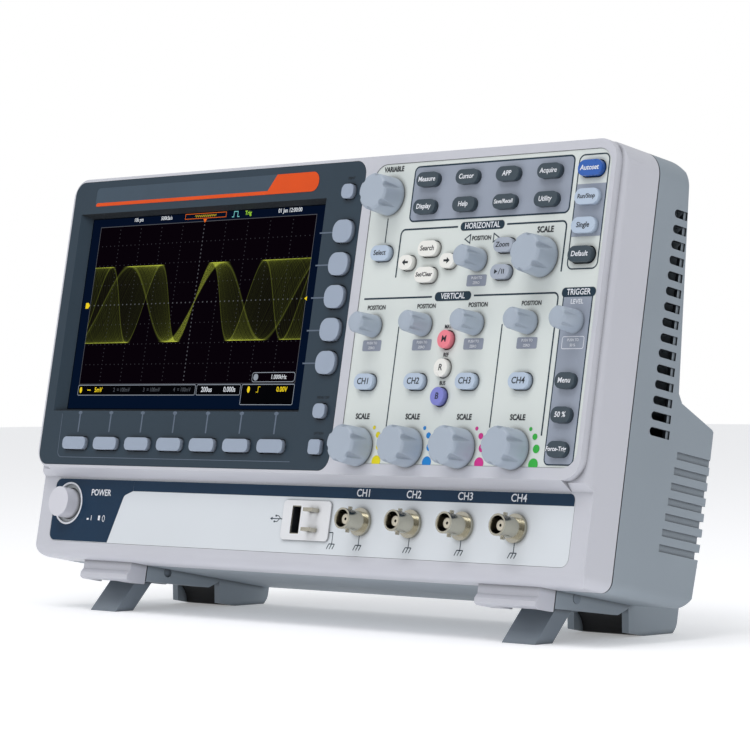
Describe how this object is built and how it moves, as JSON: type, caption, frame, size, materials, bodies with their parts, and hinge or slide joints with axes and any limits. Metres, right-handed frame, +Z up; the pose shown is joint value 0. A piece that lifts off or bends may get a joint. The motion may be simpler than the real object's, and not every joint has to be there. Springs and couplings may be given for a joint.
{
  "type": "oscilloscope",
  "caption": "Bench oscilloscope with a wide screen, knobs and keys on the right, BNC inputs below, and a case leaning back on fold-out feet.",
  "frame": {"origin": "on the ground, below the middle of the instrument's width and depth as it stands on its opened feet", "axes": "+X to the instrument's right as seen from the front, +Y from the front to the back, +Z up; the case leans back about 10 degrees on its front feet"},
  "size_m": [0.38, 0.1418, 0.2233],
  "materials": {
    "housing_white": "fine textured moulded plastic, cool white",
    "fascia_cream": "printed fascia, pale greenish cream",
    "bezel_slate": "moulded bezel, blue-grey",
    "input_silver": "printed input panel, silver white with navy",
    "cover_grey": "moulded rear cover, mid grey",
    "screen_glass": "dark display window",
    "circuit_board": "solder-masked board",
    "sheet_metal": "zinc plated sheet",
    "fan_black": "black fan plastic",
    "nickel": "nickel plated brass",
    "terminal_white": "moulded terminal plate with plated hooks",
    "socket_black": "black connector plastic",
    "rubber_black": "black rubber",
    "screw_steel": "plated screws",
    "foot_grey": "moulded foot, blue-grey",
    "knob_grey": "satin moulded knob, light blue-grey",
    "softkey_grey": "soft moulded key, blue-grey",
    "key_dark": "moulded key, dark slate",
    "key_pale": "moulded key, pale blue",
    "key_white": "moulded key, white",
    "key_mid": "moulded key, mid grey",
    "key_blue": "translucent moulded key, blue",
    "key_pink": "moulded key, pink",
    "key_violet": "moulded key, violet-blue"
  },
  "bodies": {
    "body": {"front_housing": "housing_white", "screen_bezel": "bezel_slate", "control_fascia": "fascia_cream", "input_fascia": "input_silver", "rear_cover": "cover_grey", "screen_window": "screen_glass", "lcd_module": "sheet_metal", "front_board": "circuit_board", "main_board": "circuit_board", "shield_chassis": "sheet_metal", "power_supply": "sheet_metal", "fan_frame": "fan_black", "bnc_jacks": "nickel", "front_terminals": "terminal_white", "rear_connectors": "socket_black", "rubber_pads": "rubber_black", "screws": "screw_steel"},
    "fan_rotor": {"fan_rotor": "fan_black"},
    "tilt_foot_left": {"tilt_foot_left": "foot_grey"},
    "tilt_foot_right": {"tilt_foot_right": "foot_grey"},
    "power_button": {"power_button": "key_white"},
    "knob_variable": {"knob_variable": "knob_grey"},
    "knob_h_position": {"knob_h_position": "knob_grey"},
    "knob_h_scale": {"knob_h_scale": "knob_grey"},
    "knob_trigger_level": {"knob_trigger_level": "knob_grey"},
    "knob_position_1": {"knob_position_1": "knob_grey"},
    "knob_position_2": {"knob_position_2": "knob_grey"},
    "knob_position_3": {"knob_position_3": "knob_grey"},
    "knob_position_4": {"knob_position_4": "knob_grey"},
    "knob_scale_1": {"knob_scale_1": "knob_grey"},
    "knob_scale_2": {"knob_scale_2": "knob_grey"},
    "knob_scale_3": {"knob_scale_3": "knob_grey"},
    "knob_scale_4": {"knob_scale_4": "knob_grey"},
    "softkeys_bottom": {"softkeys_bottom": "softkey_grey"},
    "softkeys_side": {"softkeys_side": "softkey_grey"},
    "key_hardcopy": {"key_hardcopy": "softkey_grey"},
    "key_menu_off": {"key_menu_off": "softkey_grey"},
    "key_option": {"key_option": "softkey_grey"},
    "function_keys": {"function_keys": "key_dark"},
    "key_select": {"key_select": "key_pale"},
    "key_search": {"key_search": "key_white"},
    "key_set_clear": {"key_set_clear": "key_white"},
    "key_previous": {"key_previous": "key_white"},
    "key_next": {"key_next": "key_white"},
    "key_zoom": {"key_zoom": "key_mid"},
    "key_play": {"key_play": "key_mid"},
    "key_autoset": {"key_autoset": "key_blue"},
    "key_run_stop": {"key_run_stop": "key_pale"},
    "key_single": {"key_single": "key_pale"},
    "key_default": {"key_default": "key_dark"},
    "key_math": {"key_math": "key_pink"},
    "key_reference": {"key_reference": "key_white"},
    "key_bus": {"key_bus": "key_violet"},
    "key_ch1": {"key_ch1": "key_pale"},
    "key_ch2": {"key_ch2": "key_pale"},
    "key_ch3": {"key_ch3": "key_pale"},
    "key_ch4": {"key_ch4": "key_pale"},
    "key_trigger_menu": {"key_trigger_menu": "key_dark"},
    "key_trigger_half": {"key_trigger_half": "key_dark"},
    "key_trigger_force": {"key_trigger_force": "key_dark"}
  },
  "joints": [
    {"name": "fan_spin", "type": "hinge", "parent": "body", "child": "fan_rotor", "pos_m": [-0.045, 0.05466, 0.12592], "axis": [0, 0.9832, -0.1825], "continuous": true},
    {"name": "foot_left_fold", "type": "hinge", "parent": "body", "child": "tilt_foot_left", "pos_m": [-0.1444, -0.02754, 0.01953], "axis": [1, 0, 0], "range_deg": [0, 122]},
    {"name": "foot_right_fold", "type": "hinge", "parent": "body", "child": "tilt_foot_right", "pos_m": [0.1444, -0.02754, 0.01953], "axis": [1, 0, 0], "range_deg": [0, 122]},
    {"name": "power_press", "type": "slide", "parent": "body", "child": "power_button", "axis": [0, 0.9832, -0.1825], "range_m": [0, 0.003], "stiffness_N_per_m": 300},
    {"name": "variable_turn", "type": "hinge", "parent": "body", "child": "knob_variable", "pos_m": [0.0491, -0.03511, 0.2034], "axis": [0, -0.9832, 0.1825], "continuous": true},
    {"name": "h_position_turn", "type": "hinge", "parent": "body", "child": "knob_h_position", "pos_m": [0.1115, -0.04104, 0.17145], "axis": [0, -0.9832, 0.1825], "continuous": true},
    {"name": "h_scale_turn", "type": "hinge", "parent": "body", "child": "knob_h_scale", "pos_m": [0.1506, -0.04104, 0.17145], "axis": [0, -0.9832, 0.1825], "continuous": true},
    {"name": "trigger_level_turn", "type": "hinge", "parent": "body", "child": "knob_trigger_level", "pos_m": [0.1745, -0.04644, 0.14235], "axis": [0, -0.9832, 0.1825], "continuous": true},
    {"name": "position_1_turn", "type": "hinge", "parent": "body", "child": "knob_position_1", "pos_m": [0.0491, -0.04644, 0.14235], "axis": [0, -0.9832, 0.1825], "continuous": true},
    {"name": "position_2_turn", "type": "hinge", "parent": "body", "child": "knob_position_2", "pos_m": [0.0818, -0.04644, 0.14235], "axis": [0, -0.9832, 0.1825], "continuous": true},
    {"name": "position_3_turn", "type": "hinge", "parent": "body", "child": "knob_position_3", "pos_m": [0.1145, -0.04644, 0.14235], "axis": [0, -0.9832, 0.1825], "continuous": true},
    {"name": "position_4_turn", "type": "hinge", "parent": "body", "child": "knob_position_4", "pos_m": [0.1472, -0.04644, 0.14235], "axis": [0, -0.9832, 0.1825], "continuous": true},
    {"name": "scale_1_turn", "type": "hinge", "parent": "body", "child": "knob_scale_1", "pos_m": [0.0491, -0.05686, 0.08621], "axis": [0, -0.9832, 0.1825], "continuous": true},
    {"name": "scale_2_turn", "type": "hinge", "parent": "body", "child": "knob_scale_2", "pos_m": [0.0818, -0.05686, 0.08621], "axis": [0, -0.9832, 0.1825], "continuous": true},
    {"name": "scale_3_turn", "type": "hinge", "parent": "body", "child": "knob_scale_3", "pos_m": [0.1145, -0.05686, 0.08621], "axis": [0, -0.9832, 0.1825], "continuous": true},
    {"name": "scale_4_turn", "type": "hinge", "parent": "body", "child": "knob_scale_4", "pos_m": [0.1472, -0.05686, 0.08621], "axis": [0, -0.9832, 0.1825], "continuous": true},
    {"name": "softkeys_bottom_press", "type": "slide", "parent": "body", "child": "softkeys_bottom", "axis": [0, 0.9832, -0.1825], "range_m": [0, 0.0012], "stiffness_N_per_m": 200},
    {"name": "softkeys_side_press", "type": "slide", "parent": "body", "child": "softkeys_side", "axis": [0, 0.9832, -0.1825], "range_m": [0, 0.0012], "stiffness_N_per_m": 200},
    {"name": "hardcopy_press", "type": "slide", "parent": "body", "child": "key_hardcopy", "axis": [0, 0.9832, -0.1825], "range_m": [0, 0.0012], "stiffness_N_per_m": 200},
    {"name": "menu_off_press", "type": "slide", "parent": "body", "child": "key_menu_off", "axis": [0, 0.9832, -0.1825], "range_m": [0, 0.0012], "stiffness_N_per_m": 200},
    {"name": "option_press", "type": "slide", "parent": "body", "child": "key_option", "axis": [0, 0.9832, -0.1825], "range_m": [0, 0.0012], "stiffness_N_per_m": 200},
    {"name": "function_keys_press", "type": "slide", "parent": "body", "child": "function_keys", "axis": [0, 0.9832, -0.1825], "range_m": [0, 0.0012], "stiffness_N_per_m": 200},
    {"name": "select_press", "type": "slide", "parent": "body", "child": "key_select", "axis": [0, 0.9832, -0.1825], "range_m": [0, 0.0012], "stiffness_N_per_m": 200},
    {"name": "search_press", "type": "slide", "parent": "body", "child": "key_search", "axis": [0, 0.9832, -0.1825], "range_m": [0, 0.0012], "stiffness_N_per_m": 200},
    {"name": "set_clear_press", "type": "slide", "parent": "body", "child": "key_set_clear", "axis": [0, 0.9832, -0.1825], "range_m": [0, 0.0012], "stiffness_N_per_m": 200},
    {"name": "previous_press", "type": "slide", "parent": "body", "child": "key_previous", "axis": [0, 0.9832, -0.1825], "range_m": [0, 0.0012], "stiffness_N_per_m": 200},
    {"name": "next_press", "type": "slide", "parent": "body", "child": "key_next", "axis": [0, 0.9832, -0.1825], "range_m": [0, 0.0012], "stiffness_N_per_m": 200},
    {"name": "zoom_press", "type": "slide", "parent": "body", "child": "key_zoom", "axis": [0, 0.9832, -0.1825], "range_m": [0, 0.0012], "stiffness_N_per_m": 200},
    {"name": "play_press", "type": "slide", "parent": "body", "child": "key_play", "axis": [0, 0.9832, -0.1825], "range_m": [0, 0.0012], "stiffness_N_per_m": 200},
    {"name": "autoset_press", "type": "slide", "parent": "body", "child": "key_autoset", "axis": [0, 0.9832, -0.1825], "range_m": [0, 0.0012], "stiffness_N_per_m": 200},
    {"name": "run_stop_press", "type": "slide", "parent": "body", "child": "key_run_stop", "axis": [0, 0.9832, -0.1825], "range_m": [0, 0.0012], "stiffness_N_per_m": 200},
    {"name": "single_press", "type": "slide", "parent": "body", "child": "key_single", "axis": [0, 0.9832, -0.1825], "range_m": [0, 0.0012], "stiffness_N_per_m": 200},
    {"name": "default_press", "type": "slide", "parent": "body", "child": "key_default", "axis": [0, 0.9832, -0.1825], "range_m": [0, 0.0012], "stiffness_N_per_m": 200},
    {"name": "math_press", "type": "slide", "parent": "body", "child": "key_math", "axis": [0, 0.9832, -0.1825], "range_m": [0, 0.0012], "stiffness_N_per_m": 200},
    {"name": "reference_press", "type": "slide", "parent": "body", "child": "key_reference", "axis": [0, 0.9832, -0.1825], "range_m": [0, 0.0012], "stiffness_N_per_m": 200},
    {"name": "bus_press", "type": "slide", "parent": "body", "child": "key_bus", "axis": [0, 0.9832, -0.1825], "range_m": [0, 0.0012], "stiffness_N_per_m": 200},
    {"name": "ch1_press", "type": "slide", "parent": "body", "child": "key_ch1", "axis": [0, 0.9832, -0.1825], "range_m": [0, 0.0012], "stiffness_N_per_m": 200},
    {"name": "ch2_press", "type": "slide", "parent": "body", "child": "key_ch2", "axis": [0, 0.9832, -0.1825], "range_m": [0, 0.0012], "stiffness_N_per_m": 200},
    {"name": "ch3_press", "type": "slide", "parent": "body", "child": "key_ch3", "axis": [0, 0.9832, -0.1825], "range_m": [0, 0.0012], "stiffness_N_per_m": 200},
    {"name": "ch4_press", "type": "slide", "parent": "body", "child": "key_ch4", "axis": [0, 0.9832, -0.1825], "range_m": [0, 0.0012], "stiffness_N_per_m": 200},
    {"name": "trigger_menu_press", "type": "slide", "parent": "body", "child": "key_trigger_menu", "axis": [0, 0.9832, -0.1825], "range_m": [0, 0.0012], "stiffness_N_per_m": 200},
    {"name": "trigger_half_press", "type": "slide", "parent": "body", "child": "key_trigger_half", "axis": [0, 0.9832, -0.1825], "range_m": [0, 0.0012], "stiffness_N_per_m": 200},
    {"name": "trigger_force_press", "type": "slide", "parent": "body", "child": "key_trigger_force", "axis": [0, 0.9832, -0.1825], "range_m": [0, 0.0012], "stiffness_N_per_m": 200}
  ]
}
